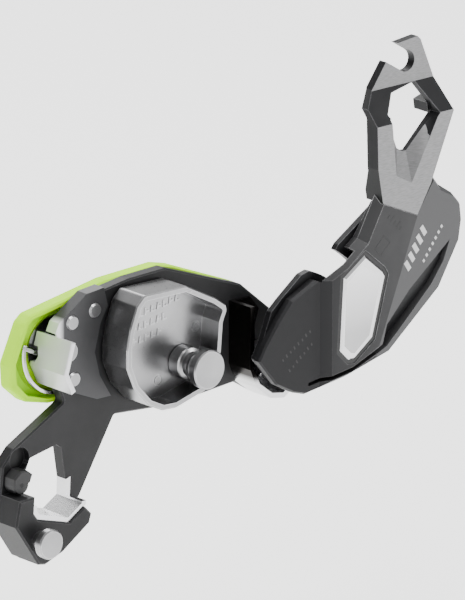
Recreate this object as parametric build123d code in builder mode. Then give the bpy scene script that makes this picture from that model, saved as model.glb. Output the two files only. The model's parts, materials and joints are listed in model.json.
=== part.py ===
from build123d import *
import os

os.makedirs("parts", exist_ok=True)

# Belay device, millimetres. X runs along the body, Z is up, and the front faces -Y.
# Every height below is a distance in front of the back plate's front face.
# The origin is the centre of the harness eye, level with that face.

# Driving dimensions
ROPE_MAX = 10.5
PLATE_BACK = -4.0
PLATE_FRONT = 0.0
EYE_BLOCK_TOP = 9.0
GUIDE_FLOOR = 0.6
GUIDE_TOP = 9.3
GUIDE_BACK = -7.2
ANVIL_TOP = 10.3
CAM_BOTTOM = 0.9
CAM_FLOOR = 4.5
CAM_TOP = 12.5
CAM_WALL = 1.8
FRONT_BACK = 12.8
FRONT_FACE = 15.0
COVER_TOP = 20.5
HOOK_BACK = 9.2
HOOK_FACE = 12.2
NECK_BACK = 15.4
LEVER_BACK = -10.0
LEVER_FACE = -4.3
LEVER_RECESS = -8.2

CAM_AXIS = (53.5, 29.5)
HINGE_AXIS = (88.0, 23.0)
LEVER_AXIS = (11.5, 40.0)
STUD_CENTRE = (-8.6, -14.4)
LATCH_AXIS = (-12.2, 3.2)
NOTCH_CENTRE = (141.9, 111.5)

AXLE_NECK_RADIUS = 4.1
AXLE_CAP_RADIUS = 6.3
AXLE_CAP_BOTTOM = 15.3
AXLE_CAP_TOP = 18.2
AXLE_TO_HINGE = 35.1
SEAT_ANGLE = 26.8
SLOT_SWEEP = 46.0
HINGE_RADIUS = 3.0
LEVER_AXLE_RADIUS = 3.0
STUD_RADIUS = 3.1
STUD_HEAD_RADIUS = 4.75
STUD_HEAD_BOTTOM = 12.45
STUD_TOP = 14.8
FIT = 0.05

# Back plate outline: arm, body, hinge end, lower edge, eye
back_outline = [
    (-11.0, 13.4), (9.5, 24.2), (7.0, 30.2), (4.0, 36.7), (6.9, 46.8), (8.2, 49.4), (18.9, 56.2), (36.0, 58.6),
    (51.0, 59.0), (82.8, 47.3), (98.5, 34.0), (101.0, 22.0), (97.5, 12.5), (90.0, 9.6), (80.5, 15.6),
    (66.0, 14.6), (48.0, 14.2), (30.0, 15.8), (15.8, -7.3), (13.2, -10.4), (12.0, -13.4), (1.2, -20.4),
    (-6.0, -23.0), (-8.9, -22.4), (-18.0, -8.4), (-16.4, 2.0), (-15.6, 8.6),
]
eye_block_outline = [
    (-16.2, -0.2), (-10.0, -0.2), (-10.4, -5.6), (-8.9, -7.6), (3.8, -11.3), (10.0, -7.6),
    (12.9, -10.6), (12.0, -13.4), (1.2, -20.4), (-6.0, -23.0), (-8.9, -22.4), (-18.0, -8.4),
]
eye_opening = [
    (-4.6, 9.2), (6.2, 11.2), (8.0, 9.9), (9.6, -0.8), (9.4, -6.6), (3.8, -10.0), (-7.8, -6.4),
    (-8.8, -4.8), (-8.6, 1.8), (-6.4, 5.6),
]
eye_liner_band = [
    (9.6, -0.8), (11.4, -0.2), (11.0, -7.2), (4.0, -11.6), (-8.6, -7.8), (-10.2, -5.6), (-10.2, -3.4),
    (-8.8, -3.4), (-8.8, -4.8), (-7.8, -6.4), (3.8, -10.0), (9.4, -6.6),
]

with BuildPart() as back_plate:
    with BuildSketch(Plane.XZ.offset(PLATE_BACK)):
        with BuildLine():
            Polyline(back_outline, close=True)
        make_face()
    extrude(amount=PLATE_FRONT - PLATE_BACK)
    long_edges = back_plate.edges().filter_by(Axis.Y)
    fillet(long_edges, radius=1.2)
    front_rim = back_plate.faces().sort_by(Axis.Y)[0].outer_wire().edges()
    chamfer(front_rim, length=0.5)
    # Thick lower half of the eye
    with BuildSketch(Plane.XZ.offset(-1.0)):
        with BuildLine():
            Polyline(eye_block_outline, close=True)
        make_face()
    extrude(amount=EYE_BLOCK_TOP + 1.0)
    block_rim = back_plate.faces().sort_by(Axis.Y)[0].outer_wire().edges()
    chamfer(block_rim, length=0.6)
    # Eye opening, with room for the steel shoe
    with BuildSketch(Plane.XZ.offset(PLATE_BACK - 1)):
        with BuildLine():
            Polyline(eye_opening, close=True)
        make_face()
        with BuildLine():
            Polyline(eye_liner_band, close=True)
        make_face()
    extrude(amount=EYE_BLOCK_TOP - PLATE_BACK + 2, mode=Mode.SUBTRACT)
    # Rounded scallop in the front face above the latch
    with BuildSketch(Plane.XZ.offset(-2.4)):
        with Locations((-8.8, 9.6)):
            Circle(radius=3.9)
    extrude(amount=8, mode=Mode.SUBTRACT)
    # Holes for the stud, the axles and the rivets
    with BuildSketch(Plane.XZ.offset(PLATE_BACK - 1)):
        with Locations(CAM_AXIS):
            Circle(radius=4.0)
        with Locations(STUD_CENTRE):
            Circle(radius=STUD_RADIUS)
        with Locations(HINGE_AXIS):
            Circle(radius=HINGE_RADIUS)
        with Locations(LEVER_AXIS):
            Circle(radius=LEVER_AXLE_RADIUS)
        with Locations(LATCH_AXIS):
            Circle(radius=0.9)
        with Locations((12.4, 49.4), (21.6, 51.5), (13.0, 31.0), (84.0, 38.0), (93.0, 16.2)):
            Circle(radius=1.5)
    extrude(amount=EYE_BLOCK_TOP - PLATE_BACK + 2, mode=Mode.SUBTRACT)
    # Pocket for the latch spring
    with BuildSketch(Plane.XZ.offset(-2.6)):
        with Locations(LATCH_AXIS):
            Circle(radius=2.3)
    extrude(amount=2.6, mode=Mode.SUBTRACT)
back_plate.part.label = "back_plate"
export_step(back_plate.part, "parts/back_plate.step")

with BuildPart() as eye_wear_liner:
    with BuildSketch(Plane.XZ.offset(PLATE_BACK)):
        with BuildLine():
            Polyline(eye_liner_band, close=True)
        make_face()
    extrude(amount=EYE_BLOCK_TOP - PLATE_BACK - 0.9)
    # The right leg of the shoe is only as thick as the plate
    with BuildSketch(Plane.XZ.offset(PLATE_FRONT + 0.4)):
        with Locations((10.5, 0.0)):
            Rectangle(5, 12)
    extrude(amount=EYE_BLOCK_TOP, mode=Mode.SUBTRACT)
eye_wear_liner.part.label = "eye_wear_liner"
export_step(eye_wear_liner.part, "parts/eye_wear_liner.step")

with BuildPart() as locking_stud:
    with BuildSketch(Plane.XZ.offset(PLATE_BACK)):
        with Locations(STUD_CENTRE):
            Circle(radius=STUD_RADIUS)
    extrude(amount=STUD_HEAD_BOTTOM - PLATE_BACK)
    with BuildSketch(Plane.XZ.offset(STUD_HEAD_BOTTOM)):
        with Locations(STUD_CENTRE):
            Circle(radius=STUD_HEAD_RADIUS)
    extrude(amount=STUD_TOP - STUD_HEAD_BOTTOM)
    chamfer(locking_stud.faces().sort_by(Axis.Y)[0].edges(), length=0.45)
locking_stud.part.label = "locking_stud"
export_step(locking_stud.part, "parts/locking_stud.step")

# Pressed steel guide: floor of the rope channel and its left wall
guide_floor_outline = [
    (6.0, 46.6), (7.3, 50.0), (18.6, 57.1), (25.5, 57.7), (27.0, 52.0), (24.0, 47.0), (21.5, 38.0),
    (23.5, 30.0), (28.0, 22.5), (22.3, 22.6), (13.0, 26.6), (6.4, 29.6), (3.0, 36.7),
]
guide_spots = [(12.4, 49.4), (21.6, 51.5), (13.0, 31.0)]
with BuildPart() as rope_guide:
    with BuildSketch(Plane.XZ):
        with BuildLine():
            Polyline(guide_floor_outline, close=True)
        make_face()
    extrude(amount=GUIDE_FLOOR)
    # Bent wall; it also passes the plate's edge and reaches into the lever's recess
    with BuildSketch(Plane.XZ.offset(GUIDE_BACK)):
        with BuildLine():
            Polyline((5.6, 46.4), (2.6, 36.7), (5.6, 30.2))
        trace(line_width=1.8)
    extrude(amount=GUIDE_TOP - GUIDE_BACK)
    fillet(rope_guide.faces().sort_by(Axis.Y)[0].edges(), radius=0.4)
    # Folded skirt over the plate's rounded upper left edge
    with BuildSketch(Plane.XZ.offset(PLATE_BACK + 0.1)):
        with BuildLine():
            Polyline((5.9, 47.0), (7.4, 50.0), (18.6, 57.1), (25.5, 57.75))
        trace(line_width=0.8)
    extrude(amount=GUIDE_FLOOR - PLATE_BACK - 0.1)
    # Notch in the back edge of the wall, where the spring leg passes
    with BuildSketch(Plane.YZ.offset(-6)):
        with BuildLine():
            Polyline((9, 37.6), (5.2, 37.6), (4.2, 39.4), (5.2, 42.4), (9, 42.4), close=True)
        make_face()
    extrude(amount=12, mode=Mode.SUBTRACT)
    with BuildSketch(Plane.XZ.offset(-1)):
        with Locations(LEVER_AXIS):
            Circle(radius=LEVER_AXLE_RADIUS)
        with Locations(*guide_spots):
            Circle(radius=1.5)
    extrude(amount=3, mode=Mode.SUBTRACT)
rope_guide.part.label = "rope_guide"
export_step(rope_guide.part, "parts/rope_guide.step")

with BuildPart() as guide_rivets:
    for spot in guide_spots:
        with BuildSketch(Plane.XZ.offset(PLATE_BACK)):
            with Locations(spot):
                Circle(radius=1.5)
        extrude(amount=GUIDE_FLOOR - PLATE_BACK)
        with BuildSketch(Plane.XZ.offset(GUIDE_FLOOR)):
            with Locations(spot):
                Circle(radius=2.3)
        extrude(amount=0.6, taper=30)
guide_rivets.part.label = "guide_rivets"
export_step(guide_rivets.part, "parts/guide_rivets.step")

# Steel wall that the cam squeezes the rope against
with BuildPart() as pinch_anvil:
    with BuildSketch(Plane.XZ.offset(PLATE_FRONT)):
        with BuildLine():
            Polyline((78.4, 43.0), (78.4, 22.5), (80.8, 16.6), (86.4, 12.2), (91.6, 11.2), (95.4, 13.6))
        trace(line_width=1.6)
    extrude(amount=ANVIL_TOP)
    with BuildSketch(Plane.XZ):
        with BuildLine():
            Polyline((78.4, 43.0), (86.0, 42.6), (89.6, 38.0), (87.6, 32.5), (78.4, 32.0), close=True)
        make_face()
        with BuildLine():
            Polyline((86.4, 12.2), (91.6, 11.2), (95.4, 13.6), (96.4, 17.2), (93.0, 19.4), close=True)
        make_face()
    extrude(amount=0.8)
    with BuildSketch(Plane.XZ.offset(-1)):
        with Locations((84.0, 38.0), (93.0, 16.2)):
            Circle(radius=1.5)
    extrude(amount=3, mode=Mode.SUBTRACT)
pinch_anvil.part.label = "pinch_anvil"
export_step(pinch_anvil.part, "parts/pinch_anvil.step")

with BuildPart() as anvil_rivets:
    for spot in [(84.0, 38.0), (93.0, 16.2)]:
        with BuildSketch(Plane.XZ.offset(PLATE_BACK)):
            with Locations(spot):
                Circle(radius=1.5)
        extrude(amount=0.8 - PLATE_BACK)
        with BuildSketch(Plane.XZ.offset(0.8)):
            with Locations(spot):
                Circle(radius=2.2)
        extrude(amount=0.6, taper=30)
anvil_rivets.part.label = "anvil_rivets"
export_step(anvil_rivets.part, "parts/anvil_rivets.step")

# Turned axle of the cam; its capped neck also locks the closed front plate
axle_profile = [
    (0.0, PLATE_BACK), (4.0, PLATE_BACK), (4.0, CAM_FLOOR + 0.3), (5.3, CAM_FLOOR + 0.3), (5.3, 8.8),
    (5.0, 9.2), (AXLE_NECK_RADIUS, 9.7), (AXLE_NECK_RADIUS, 11.4), (4.75, 11.7), (4.75, 12.3),
    (AXLE_NECK_RADIUS, 12.5), (AXLE_NECK_RADIUS, AXLE_CAP_BOTTOM), (AXLE_CAP_RADIUS, AXLE_CAP_BOTTOM),
    (AXLE_CAP_RADIUS, AXLE_CAP_TOP - 0.4), (AXLE_CAP_RADIUS - 0.4, AXLE_CAP_TOP), (0.0, AXLE_CAP_TOP),
]
axle_plane = Plane(origin=(CAM_AXIS[0], 0, CAM_AXIS[1]), x_dir=(1, 0, 0), z_dir=(0, 0, 1))
with BuildPart() as cam_axle:
    with BuildSketch(axle_plane):
        with BuildLine():
            Polyline([(radius, -height) for radius, height in axle_profile], close=True)
        make_face()
    revolve(axis=Axis((CAM_AXIS[0], 0, CAM_AXIS[1]), (0, 1, 0)))
cam_axle.part.label = "cam_axle"
export_step(cam_axle.part, "parts/cam_axle.step")

with BuildPart() as cam_washer:
    with BuildSketch(Plane.XZ):
        with Locations(CAM_AXIS):
            Circle(radius=4.8)
            Circle(radius=4.0, mode=Mode.SUBTRACT)
    extrude(amount=0.6)
cam_washer.part.label = "cam_washer"
export_step(cam_washer.part, "parts/cam_washer.step")

# Torsion spring that swings the cam open
with BuildPart() as cam_spring:
    with BuildLine() as coil:
        Helix(pitch=1.2, height=2.4, radius=5.6, center=(CAM_AXIS[0], -0.7, CAM_AXIS[1]), direction=(0, -1, 0))
    with BuildSketch(Plane(origin=coil.wires()[0] @ 0, z_dir=coil.wires()[0] % 0)):
        Circle(radius=0.45)
    sweep(is_frenet=True)
cam_spring.part.label = "cam_spring"
export_step(cam_spring.part, "parts/cam_spring.step")

# Hollow eccentric cam
cam_outline = [
    (49.1, 56.4), (61.2, 50.0), (65.4, 46.9), (65.8, 45.0), (64.2, 41.5), (63.4, 32.0), (57.0, 20.8),
    (44.8, 17.7), (39.0, 18.0), (33.2, 20.9), (27.4, 27.3), (24.4, 34.5), (24.4, 40.5), (25.7, 46.8),
    (28.6, 54.0), (31.6, 56.8),
]
with BuildPart() as cam:
    with BuildSketch(Plane.XZ.offset(CAM_BOTTOM)):
        with BuildLine():
            Polyline(cam_outline, close=True)
        make_face()
    extrude(amount=CAM_TOP - CAM_BOTTOM)
    fillet(cam.edges().filter_by(Axis.Y), radius=1.5)
    chamfer(cam.faces().sort_by(Axis.Y)[0].edges(), length=0.4)
    # Pocket
    with BuildSketch(Plane.XZ.offset(CAM_FLOOR)):
        with BuildLine():
            Polyline(cam_outline, close=True)
        make_face()
        offset(amount=-CAM_WALL, kind=Kind.INTERSECTION, mode=Mode.REPLACE)
    extrude(amount=CAM_TOP, mode=Mode.SUBTRACT)
    # Underside: spring recess and the bore of the bush
    with BuildSketch(Plane.XZ.offset(CAM_BOTTOM - 1)):
        with Locations(CAM_AXIS):
            Circle(radius=6.3)
    extrude(amount=3.9 - CAM_BOTTOM + 1, mode=Mode.SUBTRACT)
    with BuildSketch(Plane.XZ.offset(CAM_BOTTOM - 1)):
        with Locations(CAM_AXIS):
            Circle(radius=4.8)
    extrude(amount=CAM_FLOOR + 2, mode=Mode.SUBTRACT)
    # Round ejector marks on the pocket floor
    with BuildSketch(Plane.XZ.offset(CAM_FLOOR - 0.25)):
        with Locations((59.6, 39.4), (44.0, 25.0)):
            Circle(radius=1.7)
            Circle(radius=1.3, mode=Mode.SUBTRACT)
    extrude(amount=1, mode=Mode.SUBTRACT)
cam.part.label = "cam"
export_step(cam.part, "parts/cam.step")

with BuildPart() as cam_bush:
    with BuildSketch(Plane.XZ.offset(CAM_BOTTOM)):
        with Locations(CAM_AXIS):
            Circle(radius=4.8)
            Circle(radius=4.0 + FIT, mode=Mode.SUBTRACT)
    extrude(amount=CAM_FLOOR - CAM_BOTTOM)
cam_bush.part.label = "cam_bush"
export_step(cam_bush.part, "parts/cam_bush.step")

# Hinge of the front plate: headed pin, spacer tube and retaining ring
with BuildPart() as hinge_pin:
    with BuildSketch(Plane.XZ.offset(PLATE_BACK)):
        with Locations(HINGE_AXIS):
            Circle(radius=HINGE_RADIUS)
    extrude(amount=16.4 - PLATE_BACK)
    chamfer(hinge_pin.faces().sort_by(Axis.Y)[0].edges(), length=0.4)
hinge_pin.part.label = "hinge_pin"
export_step(hinge_pin.part, "parts/hinge_pin.step")

with BuildPart() as hinge_spacer:
    with BuildSketch(Plane.XZ):
        with Locations(HINGE_AXIS):
            Circle(radius=4.8)
            Circle(radius=HINGE_RADIUS, mode=Mode.SUBTRACT)
    extrude(amount=FRONT_BACK - 0.3)
hinge_spacer.part.label = "hinge_spacer"
export_step(hinge_spacer.part, "parts/hinge_spacer.step")

with BuildPart() as hinge_clip:
    with BuildSketch(Plane.XZ.offset(FRONT_FACE + 0.3)):
        with Locations(HINGE_AXIS):
            Circle(radius=4.8)
            Circle(radius=HINGE_RADIUS, mode=Mode.SUBTRACT)
        with Locations((HINGE_AXIS[0] + 4, HINGE_AXIS[1])):
            Rectangle(4, 2.2, mode=Mode.SUBTRACT)
    extrude(amount=0.8)
hinge_clip.part.label = "hinge_clip"
export_step(hinge_clip.part, "parts/hinge_clip.step")

# Release lever behind the back plate
lever_outline = [
    (-8.8, 38.6), (-8.4, 31.0), (-2.6, 25.8), (6.8, 23.4), (30.0, 22.0), (60.0, 24.0), (84.0, 27.0),
    (90.0, 33.0), (89.0, 41.0), (84.4, 46.6), (58.3, 57.3), (52.0, 58.9), (30.6, 58.2), (-0.2, 53.2),
    (-3.0, 51.0),
]
lever_recess_outline = [
    (-6.4, 38.4), (-6.0, 32.2), (-1.6, 27.4), (6.8, 24.9), (20.0, 24.4), (31.0, 30.0), (31.0, 46.0),
    (24.0, 55.4), (0.6, 51.8), (-1.2, 50.0),
]
with BuildPart() as lever_handle:
    with BuildSketch(Plane.XZ.offset(LEVER_BACK)):
        with BuildLine():
            Polyline(lever_outline, close=True)
        make_face()
        fillet(vertices(), radius=2.0)
    extrude(amount=LEVER_FACE - LEVER_BACK)
    fillet(lever_handle.faces().sort_by(Axis.Y)[-1].edges(), radius=1.5)
    chamfer(lever_handle.faces().sort_by(Axis.Y)[0].edges(), length=0.5)
    with BuildSketch(Plane.XZ.offset(LEVER_RECESS)):
        with BuildLine():
            Polyline(lever_recess_outline, close=True)
        make_face()
        fillet(vertices(), radius=0.8)
    extrude(amount=5, mode=Mode.SUBTRACT)
    # Grip grooves across the back of the tip
    with BuildSketch(Plane.XZ.offset(LEVER_BACK - 1)):
        for groove_x in [64, 68, 72, 76, 80]:
            with Locations((groove_x, 38.5)):
                SlotOverall(12.0, 1.5, rotation=80)
    extrude(amount=1.7, mode=Mode.SUBTRACT)
    with BuildSketch(Plane.XZ.offset(LEVER_BACK - 1)):
        with Locations(LEVER_AXIS):
            with PolarLocations(radius=8.75, count=3, start_angle=90):
                Circle(radius=0.95)
    extrude(amount=5, mode=Mode.SUBTRACT)
    with BuildSketch(Plane.XZ.offset(LEVER_BACK - 1)):
        with Locations(LEVER_AXIS):
            Circle(radius=6.0)
    extrude(amount=5, mode=Mode.SUBTRACT)
    # Hollow core under the grip
    with BuildSketch(Plane.XZ.offset(-8.2)):
        with BuildLine():
            Polyline((36, 54), (52, 54.5), (82, 42.5), (84, 34), (78, 30.5), (36, 27.5), close=True)
        make_face()
        fillet(vertices(), radius=2.0)
        with Locations((58, 41)):
            Rectangle(2, 40, mode=Mode.SUBTRACT)
    extrude(amount=5, mode=Mode.SUBTRACT)
lever_handle.part.label = "lever_handle"
export_step(lever_handle.part, "parts/lever_handle.step")

# Curved steel strip inside the recess, the track of the lever's spring
with BuildPart() as lever_ring:
    with BuildSketch(Plane.XZ.offset(LEVER_RECESS)):
        with Locations(LEVER_AXIS):
            Circle(radius=14.75)
            Circle(radius=13.25, mode=Mode.SUBTRACT)
        with BuildLine():
            Polyline((-8.0, 45.4), LEVER_AXIS, (14.6, 20.0), (-8.0, 20.0), close=True)
        make_face(mode=Mode.INTERSECT)
    extrude(amount=3.6)
    chamfer(lever_ring.faces().sort_by(Axis.Y)[0].edges(), length=0.3)
lever_ring.part.label = "lever_ring"
export_step(lever_ring.part, "parts/lever_ring.step")

with BuildPart() as lever_hub:
    with BuildSketch(Plane.XZ.offset(LEVER_RECESS)):
        with Locations(LEVER_AXIS):
            Circle(radius=10.2)
    extrude(amount=0.6)
    with BuildSketch(Plane.XZ.offset(LEVER_RECESS)):
        with Locations(LEVER_AXIS):
            Circle(radius=6.3)
    extrude(amount=3.4)
    with BuildSketch(Plane.XZ.offset(LEVER_BACK)):
        with Locations(LEVER_AXIS):
            Circle(radius=6.0)
    extrude(amount=LEVER_RECESS - LEVER_BACK)
    with BuildSketch(Plane.XZ.offset(LEVER_BACK - 1)):
        with Locations(LEVER_AXIS):
            Circle(radius=LEVER_AXLE_RADIUS + FIT)
            with PolarLocations(radius=8.75, count=3, start_angle=90):
                Circle(radius=0.95)
    extrude(amount=8, mode=Mode.SUBTRACT)
    # Groove of the lever spring
    with BuildSketch(Plane.XZ.offset(-7.6)):
        with Locations(LEVER_AXIS):
            Circle(radius=5.75)
            Circle(radius=4.15, mode=Mode.SUBTRACT)
    extrude(amount=5, mode=Mode.SUBTRACT)
lever_hub.part.label = "lever_hub"
export_step(lever_hub.part, "parts/lever_hub.step")

with BuildPart() as lever_screws:
    with BuildSketch(Plane.XZ.offset(LEVER_BACK)):
        with Locations(LEVER_AXIS):
            with PolarLocations(radius=8.75, count=3, start_angle=90):
                Circle(radius=0.95)
    extrude(amount=LEVER_RECESS + 0.6 - LEVER_BACK)
lever_screws.part.label = "lever_screws"
export_step(lever_screws.part, "parts/lever_screws.step")

with BuildPart() as lever_axle:
    with BuildSketch(Plane.XZ.offset(-11.6)):
        with Locations(LEVER_AXIS):
            Circle(radius=LEVER_AXLE_RADIUS)
    extrude(amount=11.6 + GUIDE_FLOOR)
lever_axle.part.label = "lever_axle"
export_step(lever_axle.part, "parts/lever_axle.step")

with BuildPart() as lever_axle_clip:
    with BuildSketch(Plane.XZ.offset(-11.2)):
        with Locations(LEVER_AXIS):
            Circle(radius=5.0)
            Circle(radius=LEVER_AXLE_RADIUS, mode=Mode.SUBTRACT)
        with Locations((LEVER_AXIS[0] + 4, LEVER_AXIS[1])):
            Rectangle(4, 2.2, mode=Mode.SUBTRACT)
    extrude(amount=0.9)
lever_axle_clip.part.label = "lever_axle_clip"
export_step(lever_axle_clip.part, "parts/lever_axle_clip.step")

# Torsion spring of the lever
with BuildPart() as lever_spring:
    with BuildLine() as coil:
        Helix(pitch=1.3, height=1.3, radius=4.95, center=(LEVER_AXIS[0], 6.7, LEVER_AXIS[1]), direction=(0, -1, 0))
    with BuildSketch(Plane(origin=coil.wires()[0] @ 0, z_dir=coil.wires()[0] % 0)):
        Circle(radius=0.5)
    sweep(is_frenet=True)
lever_spring.part.label = "lever_spring"
export_step(lever_spring.part, "parts/lever_spring.step")

# Small stop rod through the notch of the guide
with BuildPart() as stop_rod:
    with BuildLine() as rod_line:
        Line((4.4, 6.2, 39.6), (-1.0, 6.2, 42.1))
    with BuildSketch(Plane(origin=rod_line.edges()[0] @ 0, z_dir=rod_line.edges()[0] % 0)):
        Circle(radius=0.8)
    sweep()
stop_rod.part.label = "stop_rod"
export_step(stop_rod.part, "parts/stop_rod.step")

# Eye latch, its pin and its spring
with BuildPart() as eye_latch:
    with BuildSketch(Plane.XZ.offset(0.3)):
        with BuildLine():
            Polyline((-15.2, 3.2), (-15.0, 5.6), (-12.4, 7.7), (-9.6, 7.4), (-7.6, 5.8), (-8.6, 3.4),
                     (-9.2, 3.2), close=True)
        make_face()
        with Locations(LATCH_AXIS):
            Circle(radius=3.0)
            Circle(radius=0.9 + FIT, mode=Mode.SUBTRACT)
    extrude(amount=4.7)
    chamfer(eye_latch.faces().sort_by(Axis.Y)[0].outer_wire().edges(), length=0.4)
eye_latch.part.label = "eye_latch"
export_step(eye_latch.part, "parts/eye_latch.step")

with BuildPart() as latch_pin:
    with BuildSketch(Plane.XZ.offset(PLATE_BACK)):
        with Locations(LATCH_AXIS):
            Circle(radius=0.9)
    extrude(amount=5.0 - PLATE_BACK)
latch_pin.part.label = "latch_pin"
export_step(latch_pin.part, "parts/latch_pin.step")

with BuildPart() as latch_spring:
    with BuildLine() as coil:
        Helix(pitch=0.75, height=1.5, radius=1.6, center=(LATCH_AXIS[0], 2.2, LATCH_AXIS[1]), direction=(0, -1, 0))
    with BuildSketch(Plane(origin=coil.wires()[0] @ 0, z_dir=coil.wires()[0] % 0)):
        Circle(radius=0.28)
    sweep(is_frenet=True)
latch_spring.part.label = "latch_spring"
export_step(latch_spring.part, "parts/latch_spring.step")

# Front plate: flat slotted plate, thick neck, eye and hook
plate_outline = [
    (127.0, 68.4), (110.4, 58.0), (108.6, 55.6), (103.6, 51.4), (101.0, 52.6), (94.7, 51.2), (85.9, 44.8),
    (82.0, 41.6), (78.0, 31.7), (75.4, 27.4), (82.8, 18.6), (89.8, 14.6), (94.4, 13.2), (111.0, 15.2),
    (128.2, 19.4), (151.0, 36.4), (159.8, 50.4), (160.8, 57.0), (159.2, 63.4), (146.0, 71.0), (140.0, 75.0),
]
neck_outline = [
    (124.5, 69.8), (139.3, 63.3), (145.1, 72.5), (154.8, 94.6), (153.4, 104.9), (148.0, 117.6),
    (146.7, 118.8), (138.0, 117.9), (137.0, 115.6), (141.0, 108.0), (133.2, 112.8), (127.2, 104.7),
    (121.8, 100.0), (122.4, 81.1),
]
front_eye_outline = [
    (128.4, 97.6), (133.2, 85.7), (135.4, 84.3), (137.3, 84.1), (149.0, 94.9), (145.3, 104.4),
    (134.0, 102.8),
]
# Heights of the neck's front and back seen from the side, from the cover up to the hook
neck_side = [
    (FRONT_BACK, 60.0), (COVER_TOP, 60.0), (COVER_TOP, 95.0), (HOOK_FACE, 104.6), (HOOK_FACE, 122.0),
    (HOOK_BACK, 122.0), (HOOK_BACK, 105.0), (NECK_BACK, 97.2), (NECK_BACK, 80.0), (FRONT_BACK, 73.0),
]
# Path of the fixed axle through the swinging front plate, from its seat to the open mouth
axle_path = CenterArc(HINGE_AXIS, AXLE_TO_HINGE, SEAT_ANGLE, SLOT_SWEEP)
with BuildPart() as front_plate:
    with BuildSketch(Plane.XZ.offset(HOOK_BACK)):
        with BuildLine():
            Polyline(neck_outline, close=True)
        make_face()
        with BuildLine():
            Polyline(front_eye_outline, close=True)
        make_face(mode=Mode.SUBTRACT)
        with Locations(NOTCH_CENTRE):
            Circle(radius=STUD_RADIUS + 0.35, mode=Mode.SUBTRACT)
        with Locations(Location((NOTCH_CENTRE[0] - 4.7, NOTCH_CENTRE[1] + 2.86, 0), 148.7)):
            Rectangle(11, 7.0, mode=Mode.SUBTRACT)
    extrude(amount=COVER_TOP - HOOK_BACK)
    with BuildSketch(Plane.YZ.offset(110)):
        with BuildLine():
            Polyline([(-height, level) for height, level in neck_side], close=True)
        make_face()
    extrude(amount=60, mode=Mode.INTERSECT)
    # Funnel cut into the front below the eye
    with BuildSketch(Plane.XZ.offset(COVER_TOP + 0.1)):
        with BuildLine():
            Polyline((128.2, 96.2), (130.1, 77.5), (136.8, 74.0), (148.1, 94.2), close=True)
        make_face()
    with BuildSketch(Plane.XZ.offset(NECK_BACK + 1.6)):
        with BuildLine():
            Polyline((129.0, 96.6), (133.4, 86.0), (137.2, 84.4), (147.9, 94.2), close=True)
        make_face()
    loft(mode=Mode.SUBTRACT)
    # Small tooth that reaches over the eye latch
    with BuildSketch(Plane.XZ.offset(9.6)):
        with BuildLine():
            Polyline((147.3, 97.7), (147.8, 94.4), (152.4, 92.4), (151.0, 98.8), close=True)
        make_face()
    extrude(amount=NECK_BACK + 0.6 - 9.6)
    # Flat plate under the cover
    with BuildSketch(Plane.XZ.offset(FRONT_BACK)):
        with BuildLine():
            Polyline(plate_outline, close=True)
        make_face()
        fillet(vertices(), radius=1.0)
        SlotArc(arc=axle_path, height=2 * AXLE_NECK_RADIUS + 0.8, mode=Mode.SUBTRACT)
        with Locations(HINGE_AXIS):
            Circle(radius=HINGE_RADIUS + FIT, mode=Mode.SUBTRACT)
        with Locations((98, 22), (131, 57), (152, 60)):
            Circle(radius=1.3, mode=Mode.SUBTRACT)
    extrude(amount=FRONT_FACE - FRONT_BACK)
front_plate.part.label = "front_plate"
export_step(front_plate.part, "parts/front_plate.step")

# Faceted cover of the front plate
cover_outline = [
    (124.3, 69.7), (139.2, 63.1), (145.3, 72.5), (151.0, 69.6), (157.0, 65.6), (160.6, 62.6), (161.4, 57.0),
    (160.4, 50.2), (151.5, 36.0), (128.6, 18.8), (111.0, 14.6), (94.0, 12.6), (89.0, 14.2), (82.0, 18.2),
    (74.6, 27.4), (77.4, 32.0), (82.4, 38.6), (88.0, 44.8), (98.0, 49.2), (108.6, 53.5), (116.6, 59.3),
]
window_outline = [
    (116.8, 54.4), (107.9, 48.7), (106.4, 24.9), (110.1, 21.2), (112.2, 21.0), (120.2, 26.6),
    (125.6, 46.1), (124.4, 48.0),
]
channel_outline = [
    (155.6, 51.4), (142.0, 42.4), (136.8, 38.9), (126.6, 29.6), (124.8, 23.4), (112.0, 18.6), (95.0, 16.4),
    (95.0, 15.2), (111.3, 17.1), (126.8, 22.3), (136.4, 29.6), (147.4, 38.4), (152.8, 44.8),
]
cover_spread_outline = [
    (124.6, 73.4), (139.6, 67.4), (146.6, 76.4), (151.4, 70.2), (157.2, 66.4), (160.6, 62.6), (161.4, 57.0),
    (160.4, 50.2), (151.5, 36.0), (128.6, 18.8), (111.0, 14.6), (94.0, 12.6), (89.0, 14.2), (82.0, 18.2),
    (74.6, 27.4), (77.4, 32.0), (82.4, 38.6), (88.0, 44.8), (98.0, 49.2), (108.6, 53.5), (116.6, 59.3),
]
WINDOW_RIM = 1.3
COVER_SIDE = 17.0
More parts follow.
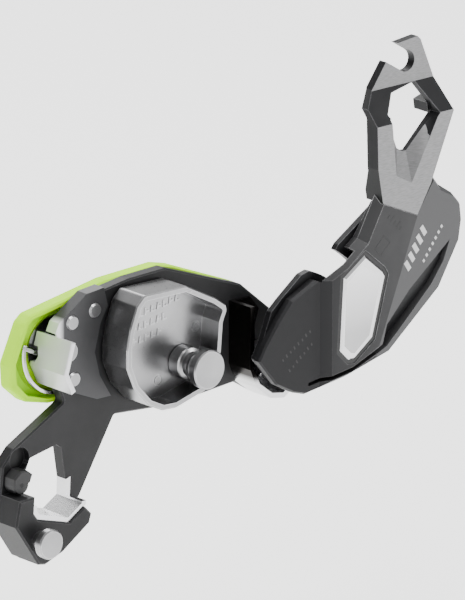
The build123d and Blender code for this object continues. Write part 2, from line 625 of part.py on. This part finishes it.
with BuildPart() as front_cover:
    with BuildSketch(Plane.XZ.offset(FRONT_FACE)):
        with BuildLine():
            Polyline(cover_outline, close=True)
        make_face()
    extrude(amount=COVER_SIDE - FRONT_FACE)
    with BuildSketch(Plane.XZ.offset(COVER_SIDE)):
        with BuildLine():
            Polyline(cover_spread_outline, close=True)
        make_face()
    extrude(amount=COVER_TOP - COVER_SIDE, taper=32)
    with BuildSketch(Plane.XZ.offset(FRONT_FACE - 1)):
        with BuildLine():
            Polyline(neck_outline, close=True)
        make_face()
        offset(amount=0.1, kind=Kind.INTERSECTION)
    extrude(amount=10, mode=Mode.SUBTRACT)
    # Concave facet over the hinge
    with BuildSketch(Plane.XY.offset(5)):
        with BuildLine():
            Polyline((103.0, -COVER_TOP), (99.6, -18.2), (70.0, -17.6), (70.0, -30), (103.0, -30), close=True)
        make_face()
    extrude(amount=60, mode=Mode.SUBTRACT)
    # Facet that falls away to the outer rim
    facet_plane = Plane(origin=(121.2, 0, 18.2), x_dir=(0.927, 0, -0.375), z_dir=(0.375, 0, 0.927))
    with BuildSketch(facet_plane):
        with BuildLine():
            Polyline((0, -COVER_TOP), (24, -17.8), (60, -17.8), (60, -30), (0, -30), close=True)
        make_face()
    extrude(amount=80, both=True, mode=Mode.SUBTRACT)
    # Deep channel inside the outer rim
    with BuildSketch(Plane.XZ.offset(FRONT_FACE + 0.6)):
        with BuildLine():
            Polyline(channel_outline, close=True)
        make_face()
    extrude(amount=10, mode=Mode.SUBTRACT)
    # Path of the axle's cap
    with BuildSketch(Plane.XZ.offset(FRONT_FACE - 1)):
        SlotArc(arc=axle_path, height=2 * AXLE_CAP_RADIUS + 1.2)
    extrude(amount=AXLE_CAP_TOP - FRONT_FACE + 1.4, mode=Mode.SUBTRACT)
    # Room for the hinge pin and its ring
    with BuildSketch(Plane.XZ.offset(FRONT_FACE - 1)):
        with Locations(HINGE_AXIS):
            Circle(radius=5.4)
    extrude(amount=2.7, mode=Mode.SUBTRACT)
    with BuildSketch(Plane.XZ.offset(FRONT_FACE - 1)):
        with BuildLine():
            Polyline(window_outline, close=True)
        make_face()
        offset(amount=WINDOW_RIM, kind=Kind.INTERSECTION)
    extrude(amount=10, mode=Mode.SUBTRACT)
    with BuildSketch(Plane.XZ.offset(FRONT_FACE - 1)):
        with Locations((98, 22), (131, 57), (152, 60)):
            Circle(radius=1.3)
    extrude(amount=3.5, mode=Mode.SUBTRACT)
front_cover.part.label = "front_cover"
export_step(front_cover.part, "parts/front_cover.step")

WINDOW_BACK = 18.6
with BuildPart() as window_insert:
    with BuildSketch(Plane.XZ.offset(WINDOW_BACK)):
        with BuildLine():
            Polyline(window_outline, close=True)
        make_face()
    extrude(amount=COVER_TOP + 0.4 - WINDOW_BACK)
    chamfer(window_insert.faces().sort_by(Axis.Y)[0].edges(), length=0.7)
window_insert.part.label = "window_insert"
export_step(window_insert.part, "parts/window_insert.step")

with BuildPart() as window_frame:
    with BuildSketch(Plane.XZ.offset(WINDOW_BACK)):
        with BuildLine():
            Polyline(window_outline, close=True)
        make_face()
        offset(amount=WINDOW_RIM, kind=Kind.INTERSECTION)
        with BuildLine():
            Polyline(window_outline, close=True)
        make_face(mode=Mode.SUBTRACT)
    extrude(amount=COVER_TOP - 0.2 - WINDOW_BACK)
window_frame.part.label = "window_frame"
export_step(window_frame.part, "parts/window_frame.step")

with BuildPart() as rim_pad:
    with BuildSketch(Plane.XZ.offset(FRONT_FACE + 0.6)):
        with BuildLine():
            Polyline(channel_outline, close=True)
        make_face()
    extrude(amount=0.9)
rim_pad.part.label = "rim_pad"
export_step(rim_pad.part, "parts/rim_pad.step")

with BuildPart() as cover_rivets:
    with BuildSketch(Plane.XZ.offset(FRONT_BACK)):
        with Locations((98, 22), (131, 57), (152, 60)):
            Circle(radius=1.3)
    extrude(amount=FRONT_FACE + 2.4 - FRONT_BACK)
cover_rivets.part.label = "cover_rivets"
export_step(cover_rivets.part, "parts/cover_rivets.step")
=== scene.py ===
import json
import math
import bpy
import bmesh
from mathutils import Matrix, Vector
from mathutils.bvhtree import BVHTree


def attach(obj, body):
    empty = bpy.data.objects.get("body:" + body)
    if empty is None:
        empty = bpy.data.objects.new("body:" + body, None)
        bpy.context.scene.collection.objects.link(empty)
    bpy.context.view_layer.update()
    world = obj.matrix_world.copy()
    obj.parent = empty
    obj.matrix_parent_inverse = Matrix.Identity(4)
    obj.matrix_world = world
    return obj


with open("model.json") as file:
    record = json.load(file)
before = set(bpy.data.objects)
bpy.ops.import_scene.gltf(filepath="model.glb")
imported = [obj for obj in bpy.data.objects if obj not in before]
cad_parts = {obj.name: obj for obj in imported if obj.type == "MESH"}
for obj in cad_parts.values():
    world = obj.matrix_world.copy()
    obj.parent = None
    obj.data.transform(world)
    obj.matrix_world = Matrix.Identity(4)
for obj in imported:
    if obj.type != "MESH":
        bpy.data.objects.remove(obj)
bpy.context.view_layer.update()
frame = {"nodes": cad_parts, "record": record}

MM = 0.001


def at(x, height, z):
    """A point in millimetres; height is the distance in front of the back plate's face."""
    return Vector((x * MM, -height * MM, z * MM))


# ---------------------------------------------------------------- materials

def new_material(name):
    material = bpy.data.materials.new(name)
    material.use_nodes = True
    nodes = material.node_tree.nodes
    nodes.clear()
    shader = nodes.new("ShaderNodeBsdfPrincipled")
    output = nodes.new("ShaderNodeOutputMaterial")
    material.node_tree.links.new(shader.outputs[0], output.inputs[0])
    return material, material.node_tree, shader


def add_noise(tree, coords, scale, detail=4.0, stretch=(1, 1, 1)):
    mapping = tree.nodes.new("ShaderNodeMapping")
    mapping.inputs["Scale"].default_value = stretch
    noise = tree.nodes.new("ShaderNodeTexNoise")
    noise.inputs["Scale"].default_value = scale
    noise.inputs["Detail"].default_value = detail
    tree.links.new(coords, mapping.inputs["Vector"])
    tree.links.new(mapping.outputs["Vector"], noise.inputs["Vector"])
    return noise.outputs["Fac"]


def add_ramp(tree, factor, low, high, start=0.35, end=0.65):
    ramp = tree.nodes.new("ShaderNodeValToRGB")
    ramp.color_ramp.elements[0].position = start
    ramp.color_ramp.elements[1].position = end
    ramp.color_ramp.elements[0].color = (*low, 1)
    ramp.color_ramp.elements[1].color = (*high, 1)
    tree.links.new(factor, ramp.inputs["Fac"])
    return ramp.outputs["Color"]


def add_range(tree, factor, low, high):
    span = tree.nodes.new("ShaderNodeMapRange")
    span.inputs["To Min"].default_value = low
    span.inputs["To Max"].default_value = high
    tree.links.new(factor, span.inputs["Value"])
    return span.outputs["Result"]


def edge_mask(tree, radius, low, high):
    """1 on exposed edges, 0 on flat faces."""
    bevel = tree.nodes.new("ShaderNodeBevel")
    bevel.inputs["Radius"].default_value = radius
    geometry = tree.nodes.new("ShaderNodeNewGeometry")
    dot = tree.nodes.new("ShaderNodeVectorMath")
    dot.operation = "DOT_PRODUCT"
    tree.links.new(bevel.outputs["Normal"], dot.inputs[0])
    tree.links.new(geometry.outputs["Normal"], dot.inputs[1])
    span = tree.nodes.new("ShaderNodeMapRange")
    span.inputs["From Min"].default_value = high
    span.inputs["From Max"].default_value = low
    tree.links.new(dot.outputs["Value"], span.inputs["Value"])
    return span.outputs["Result"]


def mix_colour(tree, factor, first, second):
    mix = tree.nodes.new("ShaderNodeMix")
    mix.data_type = "RGBA"
    tree.links.new(factor, mix.inputs["Factor"])
    for socket, value in ((mix.inputs[6], first), (mix.inputs[7], second)):
        if isinstance(value, tuple):
            socket.default_value = (*value, 1)
        else:
            tree.links.new(value, socket)
    return mix.outputs[2]


def surface(name, low, high, metallic, rough, grain=900, grain_bump=0.08, stretch=(1, 1, 1),
            edge_wear_and_highlight=None, blotch=60, gloss=0.5):
    """One procedural finish: blotchy colour, grainy roughness and bump, and lightened edges that are partly
    wear and partly painted highlight.
    """
    material, tree, shader = new_material(name)
    coords = tree.nodes.new("ShaderNodeTexCoord").outputs["Object"]
    large = add_noise(tree, coords, blotch, 5.0)
    fine = add_noise(tree, coords, grain, 3.0, stretch)
    colour = add_ramp(tree, large, low, high)
    # Exposed edges lightened in patches: partly wear, partly painted highlight
    if edge_wear_and_highlight:
        mask = edge_mask(tree, 0.0004, 0.90, 0.995)
        wear_and_glint_patches = add_noise(tree, coords, 700, 6.0)
        multiply = tree.nodes.new("ShaderNodeMath")
        multiply.operation = "MULTIPLY"
        tree.links.new(mask, multiply.inputs[0])
        tree.links.new(wear_and_glint_patches, multiply.inputs[1])
        colour = mix_colour(tree, multiply.outputs[0], colour, edge_wear_and_highlight)
    tree.links.new(colour, shader.inputs["Base Color"])
    shader.inputs["Metallic"].default_value = metallic
    tree.links.new(add_range(tree, fine, rough[0], rough[1]), shader.inputs["Roughness"])
    bump = tree.nodes.new("ShaderNodeBump")
    bump.inputs["Strength"].default_value = grain_bump
    bump.inputs["Distance"].default_value = 0.0002
    tree.links.new(fine, bump.inputs["Height"])
    tree.links.new(bump.outputs["Normal"], shader.inputs["Normal"])
    shader.inputs["Specular IOR Level"].default_value = gloss
    return material


def base_colour_of(material):
    """The shader of a finish and the socket that feeds its colour."""
    shader = next(node for node in material.node_tree.nodes if node.type == "BSDF_PRINCIPLED")
    return shader, shader.inputs["Base Color"].links[0].from_socket


def object_coords(tree):
    return tree.nodes.new("ShaderNodeTexCoord").outputs["Object"]


def axis_span(tree, axis, start, end):
    """0 before start and 1 past end, along an axis of the object."""
    split = tree.nodes.new("ShaderNodeSeparateXYZ")
    tree.links.new(object_coords(tree), split.inputs[0])
    span = tree.nodes.new("ShaderNodeMapRange")
    span.inputs["From Min"].default_value = start
    span.inputs["From Max"].default_value = end
    tree.links.new(split.outputs[axis], span.inputs["Value"])
    return span.outputs["Result"]


BRUSHED = (1, 1, 14)
finish = {
    "dark_anodised": surface("dark_anodised_finish", (0.009, 0.009, 0.0095), (0.015, 0.015, 0.016), 0.0,
                             (0.40, 0.52), 1800, 0.10, edge_wear_and_highlight=(0.10, 0.10, 0.105), gloss=0.25),
    "grey_anodised": surface("grey_anodised_finish", (0.13, 0.13, 0.133), (0.17, 0.17, 0.173), 0.8,
                             (0.36, 0.48), 1500, 0.08, edge_wear_and_highlight=(0.55, 0.55, 0.56)),
    "grey_shell": surface("grey_shell_finish", (0.075, 0.075, 0.078), (0.095, 0.095, 0.098), 0.45,
                          (0.38, 0.50), 2200, 0.10, edge_wear_and_highlight=(0.42, 0.42, 0.43)),
    "steel": surface("turned_steel_finish", (0.28, 0.28, 0.285), (0.35, 0.35, 0.355), 1.0,
                     (0.24, 0.34), 1500, 0.02, BRUSHED, edge_wear_and_highlight=(0.85, 0.85, 0.86)),
    "bright_steel": surface("bright_steel_finish", (0.62, 0.62, 0.63), (0.74, 0.74, 0.75), 1.0,
                            (0.16, 0.28), 900, 0.04, BRUSHED),
    "spring_steel": surface("spring_steel_finish", (0.33, 0.33, 0.34), (0.45, 0.45, 0.46), 1.0,
                            (0.28, 0.4), 1200, 0.05),
    "bronze": surface("bronze_finish", (0.42, 0.28, 0.12), (0.55, 0.38, 0.18), 1.0, (0.3, 0.42), 1200, 0.05),
    "lime_plastic": surface("lime_plastic_finish", (0.42, 0.84, 0.0), (0.48, 0.92, 0.002), 0.0,
                            (0.60, 0.72), 2600, 0.10, gloss=0.15),
    "black_plastic": surface("black_plastic_finish", (0.004, 0.004, 0.0045), (0.008, 0.008, 0.009), 0.0,
                             (0.40, 0.55), 2200, 0.15),
}


def polished_zone(name, dark, bright, axis, start, end, rough=(0.2, 0.3), metallic=1.0):
    """Polished steel that is darker on one side of a level along an axis of the object."""
    material = surface(name, bright, tuple(min(1.0, value * 1.12) for value in bright), metallic,
                       rough, 900, 0.04, BRUSHED)
    tree = material.node_tree
    shader, bright_colour = base_colour_of(material)
    zone = axis_span(tree, axis, start, end)
    tree.links.new(mix_colour(tree, zone, bright_colour, dark), shader.inputs["Base Color"])
    return material


def masked(tree, source, axis, operation, level):
    """1 where one axis of a vector passes a level, 0 elsewhere."""
    split = tree.nodes.new("ShaderNodeSeparateXYZ")
    tree.links.new(source, split.inputs[0])
    compare = tree.nodes.new("ShaderNodeMath")
    compare.operation = operation
    compare.inputs[1].default_value = level
    tree.links.new(split.outputs[axis], compare.inputs[0])
    return compare.outputs[0]


def combined(tree, operation, first, second):
    node = tree.nodes.new("ShaderNodeMath")
    node.operation = operation
    tree.links.new(first, node.inputs[0])
    tree.links.new(second, node.inputs[1])
    return node.outputs[0]


# Millimetres: where the raised neck's front, the slope above the eye and the hook begin; they bound the front
# plate's painted highlight
NECK_HEIGHT = 15.2
SLOPE_FOOT = 95.1
HOOK_FOOT = 104.4
FORWARD_NORMAL = -0.45


def front_with_painted_highlight(name):
    """Dark anodised plate whose raised neck and hook get a painted highlight, a paler brushed colour, on their
    forward-facing faces.
    """
    material = surface(name, (0.010, 0.010, 0.011), (0.016, 0.016, 0.017), 0.6, (0.36, 0.48), 1800, 0.06,
                       edge_wear_and_highlight=(0.20, 0.20, 0.21), gloss=0.25)
    tree = material.node_tree
    shader, dark_colour = base_colour_of(material)
    coords = tree.nodes.new("ShaderNodeTexCoord")
    raised = masked(tree, coords.outputs["Object"], "Y", "LESS_THAN", -NECK_HEIGHT * MM)
    below_slope = masked(tree, coords.outputs["Object"], "Z", "LESS_THAN", SLOPE_FOOT * MM)
    hook = masked(tree, coords.outputs["Object"], "Z", "GREATER_THAN", HOOK_FOOT * MM)
    forward = masked(tree, coords.outputs["Normal"], "Y", "LESS_THAN", FORWARD_NORMAL)
    neck = combined(tree, "MULTIPLY", raised, below_slope)
    zone = combined(tree, "MULTIPLY", combined(tree, "MAXIMUM", neck, hook), forward)
    # Painted highlight: forward-facing faces of the neck and hook are painted paler
    painted_highlight_colour = add_ramp(tree, add_noise(tree, coords.outputs["Object"], 500, 5.0, (1, 1, 10)),
                       (0.20, 0.20, 0.203), (0.27, 0.27, 0.273))
    tree.links.new(mix_colour(tree, zone, dark_colour, painted_highlight_colour), shader.inputs["Base Color"])
    return material


# The outer facet of the cover lies past this distance, in millimetres, along this direction, and takes a paler
# painted highlight colour
FACET_ACROSS = (0.927, 0.0, -0.375)
FACET_LEVEL = 105.6
FACET_PAINTED_HIGHLIGHT = (0.072, 0.072, 0.074)


def shell_with_painted_shade(name, dark, start, end):
    """Shell finish with painted shade, darker towards the hinge end, and a painted highlight, paler on the
    outer facet.
    """
    material = surface(name, (0.034, 0.034, 0.035), (0.046, 0.046, 0.047), 0.2, (0.40, 0.52), 2200, 0.08,
                       edge_wear_and_highlight=(0.50, 0.50, 0.51), gloss=0.25)
    tree = material.node_tree
    shader, shell_colour = base_colour_of(material)
    across = tree.nodes.new("ShaderNodeVectorMath")
    across.operation = "DOT_PRODUCT"
    across.inputs[1].default_value = FACET_ACROSS
    tree.links.new(object_coords(tree), across.inputs[0])
    facet = tree.nodes.new("ShaderNodeMath")
    facet.operation = "GREATER_THAN"
    facet.inputs[1].default_value = FACET_LEVEL * MM
    tree.links.new(across.outputs["Value"], facet.inputs[0])
    # Painted shade darkens the shell towards the hinge end; the outer facet gets a painted highlight
    painted_shade_gradient = mix_colour(tree, axis_span(tree, "X", start, end), dark, shell_colour)
    tree.links.new(mix_colour(tree, facet.outputs[0], painted_shade_gradient, FACET_PAINTED_HIGHLIGHT), shader.inputs["Base Color"])
    return material


own_finish = {
    # Front plate with a painted highlight on its forward-facing faces
    "front_plate": front_with_painted_highlight("front_plate_finish"),
    # Cover with painted shade towards the hinge end and a painted highlight on its outer facet
    "front_cover": shell_with_painted_shade("front_cover_finish", (0.008, 0.008, 0.009), 0.098, 0.130),
    "pinch_anvil": polished_zone("anvil_finish", (0.03, 0.028, 0.027), (0.60, 0.60, 0.61), "Z", 0.0175, 0.020),
    # The guide's floor past X 9.2 mm is dark as painted shade from a rope lying in the guide; the wall before X
    # 7.2 mm keeps its bright steel colour
    "rope_guide": polished_zone("guide_painted_shade_finish", (0.05, 0.05, 0.052), (0.72, 0.72, 0.73), "X", 0.0072, 0.0092,
                                (0.34, 0.44), metallic=0.55),
}

slots = {entry["node"]: entry["material_slot"] for entry in frame["record"]["subparts"]}
for node, obj in frame["nodes"].items():
    obj.data.materials.clear()
    obj.data.materials.append(own_finish.get(node, finish[slots[node]]))

# Softened edges, as on machined and moulded parts
EDGE_SOFTNESS = {
    "back_plate": 0.35, "front_plate": 0.4, "front_cover": 0.35, "cam": 0.3, "lever_handle": 0.5,
    "rope_guide": 0.15, "pinch_anvil": 0.2, "eye_latch": 0.2, "window_insert": 0.15, "window_frame": 0.15,
    "eye_wear_liner": 0.2, "locking_stud": 0.12, "cam_axle": 0.12,
}
for node, softness in EDGE_SOFTNESS.items():
    obj = frame["nodes"][node]
    bevel = obj.modifiers.new("softened_edges", "BEVEL")
    bevel.width = softness * MM
    bevel.segments = 3
    bevel.limit_method = "ANGLE"
    bevel.angle_limit = math.radians(24)

# ---------------------------------------------------------------- marks on the cover and the cam

depsgraph = bpy.context.evaluated_depsgraph_get()


RAY_START = 40
SUNK = 0.15


def surface_tree(node):
    evaluated = frame["nodes"][node].evaluated_get(depsgraph)
    mesh = evaluated.to_mesh()
    tree = BVHTree.FromPolygons([vertex.co.copy() for vertex in mesh.vertices],
                                [tuple(polygon.vertices) for polygon in mesh.polygons])
    evaluated.to_mesh_clear()
    return tree


def laid_outline(bm, tree, outline, proud):
    """A thin raised patch with the given X, Z outline (mm), laid on the front of a node."""
    top = []
    base = []
    for x, z in outline:
        hit = tree.ray_cast(at(x, RAY_START, z), Vector((0, 1, 0)))[0]
        top.append(bm.verts.new(hit + Vector((0, -proud * MM, 0))))
        base.append(bm.verts.new(hit + Vector((0, SUNK * MM, 0))))
    bm.faces.new(top)
    bm.faces.new(list(reversed(base)))
    count = len(outline)
    for index in range(count):
        following = (index + 1) % count
        bm.faces.new((top[following], top[index], base[index], base[following]))


def marks(name, node, body, material, outlines, proud):
    bm = bmesh.new()
    tree = surface_tree(node)
    for outline in outlines:
        laid_outline(bm, tree, outline, proud)
    bmesh.ops.recalc_face_normals(bm, faces=bm.faces)
    mesh = bpy.data.meshes.new(name)
    bm.to_mesh(mesh)
    bm.free()
    piece = bpy.data.objects.new(name, mesh)
    bpy.context.scene.collection.objects.link(piece)
    piece.data.materials.append(material)
    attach(piece, body)
    return piece


def stroke(start, end, width):
    """The outline of a straight stroke between two X, Z points."""
    start, end = Vector(start), Vector(end)
    side = (end - start).normalized().orthogonal() * width / 2
    return [tuple(start + side), tuple(start - side), tuple(end - side), tuple(end + side)]


def stroke_row(start, end, lengths, gap, width, lean):
    """Parallel slanted strokes set along a line, one for each length."""
    start, end = Vector(start), Vector(end)
    along = (end - start).normalized()
    across = Vector((-along.y, along.x))
    place = start.copy()
    rows = []
    for length in lengths:
        foot = place
        rows.append(stroke(foot, foot + across * length + along * lean * length, width))
        place = place + along * gap
    return rows


print_finish = surface("pale_print_finish", (0.55, 0.55, 0.55), (0.62, 0.62, 0.62), 0.0, (0.5, 0.6), 1500, 0.05)
pale_bars = stroke_row((136.6, 45.6), (146.8, 60.4), [3.6, 3.6, 3.6, 3.6, 3.6], 3.1, 1.7, 0.35)
pale_dashes = stroke_row((143.6, 46.6), (153.6, 58.6), [1.1] * 7, 2.1, 0.9, 0.2)
marks("cover_bars", "front_cover", "front", print_finish, pale_bars + pale_dashes, 0.05)

dark_marks = stroke_row((126.4, 64.4), (132.6, 58.6), [1.6, 2.6, 1.6, 2.6, 1.6], 1.7, 0.6, 0.1)
square = [(125.0, 59.2), (127.6, 56.6), (123.6, 52.8), (121.2, 55.6)]
dark_marks += [stroke(square[index], square[(index + 1) % 4], 0.42) for index in range(4)]
dark_marks += stroke_row((84.6, 25.6), (98.4, 34.4), [0.9, 1.2, 0.9, 1.2, 1.2, 0.9, 1.2, 0.9], 1.9, 0.5, 0.1)
dark_marks += stroke_row((87.4, 21.6), (98.6, 30.0), [1.2, 0.9, 1.2, 1.2, 0.9, 1.2, 0.9], 1.9, 0.5, 0.1)
marks("cover_marks", "front_cover", "front", finish["black_plastic"], dark_marks, 0.04)

# Rows of raised strokes on the cam's pocket floor: start X, start Z and number of marks
CAST_ROWS = [(32.0, 50.6, 8), (31.2, 46.4, 9), (31.0, 42.2, 7), (31.2, 38.0, 6)]
CAST_PITCH = 2.5
CAST_RISE = 0.35
cast_marks = []
for row_x, row_z, count in CAST_ROWS:
    for index in range(count):
        x = row_x + index * CAST_PITCH
        z = row_z + index * CAST_RISE
        lift = 0.8 * (index % 2)
        cast_marks.append(stroke((x, z), (x + 0.2 * (index % 3), z + 2.2), 0.6))
        cast_marks.append(stroke((x + 0.3, z + 0.3 + lift), (x + 1.5, z + 0.4 + lift), 0.5))
marks("cam_cast_marks", "cam", "cam", finish["steel"], cast_marks, 0.25)

# Brushed field of the window insert, inside its bright border, painted paler towards the top as a painted
# highlight
panel_outline = [(114.9, 51.2), (108.6, 46.9), (107.8, 26.4), (110.6, 23.6), (112.2, 23.2), (118.4, 27.8),
                 (123.4, 46.0), (122.6, 47.2)]
panel_painted_highlight_finish = polished_zone("insert_field_finish", (0.80, 0.80, 0.81), (0.42, 0.42, 0.425), "Z", 0.030, 0.050,
                             (0.30, 0.40))
marks("insert_field", "window_insert", "front", panel_painted_highlight_finish, [panel_outline], 0.015)

# ---------------------------------------------------------------- studio

def plain_material(name, colour, rough):
    material, tree, shader = new_material(name)
    shader.inputs["Base Color"].default_value = (*colour, 1)
    shader.inputs["Roughness"].default_value = rough
    return material


FLOOR_LEVEL = -0.075
FLOOR_REACH = 4
floor_corners = [(x * FLOOR_REACH, y * FLOOR_REACH, FLOOR_LEVEL)
                 for x, y in ((-1, -1), (1, -1), (1, 1), (-1, 1))]
floor_mesh = bpy.data.meshes.new("studio_floor")
floor_mesh.from_pydata(floor_corners, [], [(0, 1, 2, 3)])
floor = bpy.data.objects.new("studio_floor", floor_mesh)
bpy.context.scene.collection.objects.link(floor)
floor_finish = plain_material("studio_floor_finish", (0.9, 0.9, 0.9), 0.9)
floor_shader = next(node for node in floor_finish.node_tree.nodes if node.type == "BSDF_PRINCIPLED")
floor_shader.inputs["Emission Color"].default_value = (1, 1, 1, 1)
floor_shader.inputs["Emission Strength"].default_value = 1.0
floor.data.materials.append(floor_finish)

TARGET = Vector((0.0729, -0.0070, 0.0457))
VIEW = Vector((-0.638, -0.711, 0.297)).normalized()
DISTANCE = 2.343
camera_data = bpy.data.cameras.new("camera")
camera_data.lens = 450
camera_data.sensor_width = 36
camera_data.sensor_fit = "AUTO"
camera_data.clip_start = 0.1
camera = bpy.data.objects.new("camera", camera_data)
camera.location = TARGET + VIEW * DISTANCE
camera.rotation_euler = (-VIEW).to_track_quat("-Z", "Y").to_euler()
bpy.context.scene.collection.objects.link(camera)
bpy.context.scene.camera = camera


def area_light(name, position, power, width, height, aim=TARGET):
    data = bpy.data.lights.new(name, "AREA")
    data.shape = "RECTANGLE"
    data.size = width
    data.size_y = height
    data.energy = power
    light = bpy.data.objects.new(name, data)
    light.location = position
    light.rotation_euler = (aim - Vector(position)).to_track_quat("-Z", "Y").to_euler()
    bpy.context.scene.collection.objects.link(light)


area_light("top_softbox", (0.0, 0.1, 1.2), 21, 1.0, 0.8)
area_light("right_softbox", (1.0, -0.9, 0.8), 11, 0.5, 0.8)
area_light("left_strip", (-1.1, -0.5, 0.45), 4.5, 0.2, 0.9)
area_light("back_softbox", (0.5, 1.2, 0.7), 10, 0.9, 0.6)

# Studio surroundings: dark at the horizon, bright overhead
world = bpy.data.worlds.new("studio_world")
bpy.context.scene.world = world
world.use_nodes = True
sky = world.node_tree
sky_coords = sky.nodes.new("ShaderNodeTexCoord")
sky_split = sky.nodes.new("ShaderNodeSeparateXYZ")
sky_ramp = sky.nodes.new("ShaderNodeValToRGB")
sky_ramp.color_ramp.elements[0].position = 0.08
sky_ramp.color_ramp.elements[0].color = (0.10, 0.10, 0.105, 1)
sky_ramp.color_ramp.elements[1].position = 0.75
sky_ramp.color_ramp.elements[1].color = (1.0, 1.0, 1.0, 1)
sky.links.new(sky_coords.outputs["Generated"], sky_split.inputs[0])
sky.links.new(sky_split.outputs["Z"], sky_ramp.inputs["Fac"])
sky.links.new(sky_ramp.outputs["Color"], sky.nodes["Background"].inputs["Color"])
sky.nodes["Background"].inputs["Strength"].default_value = 0.75
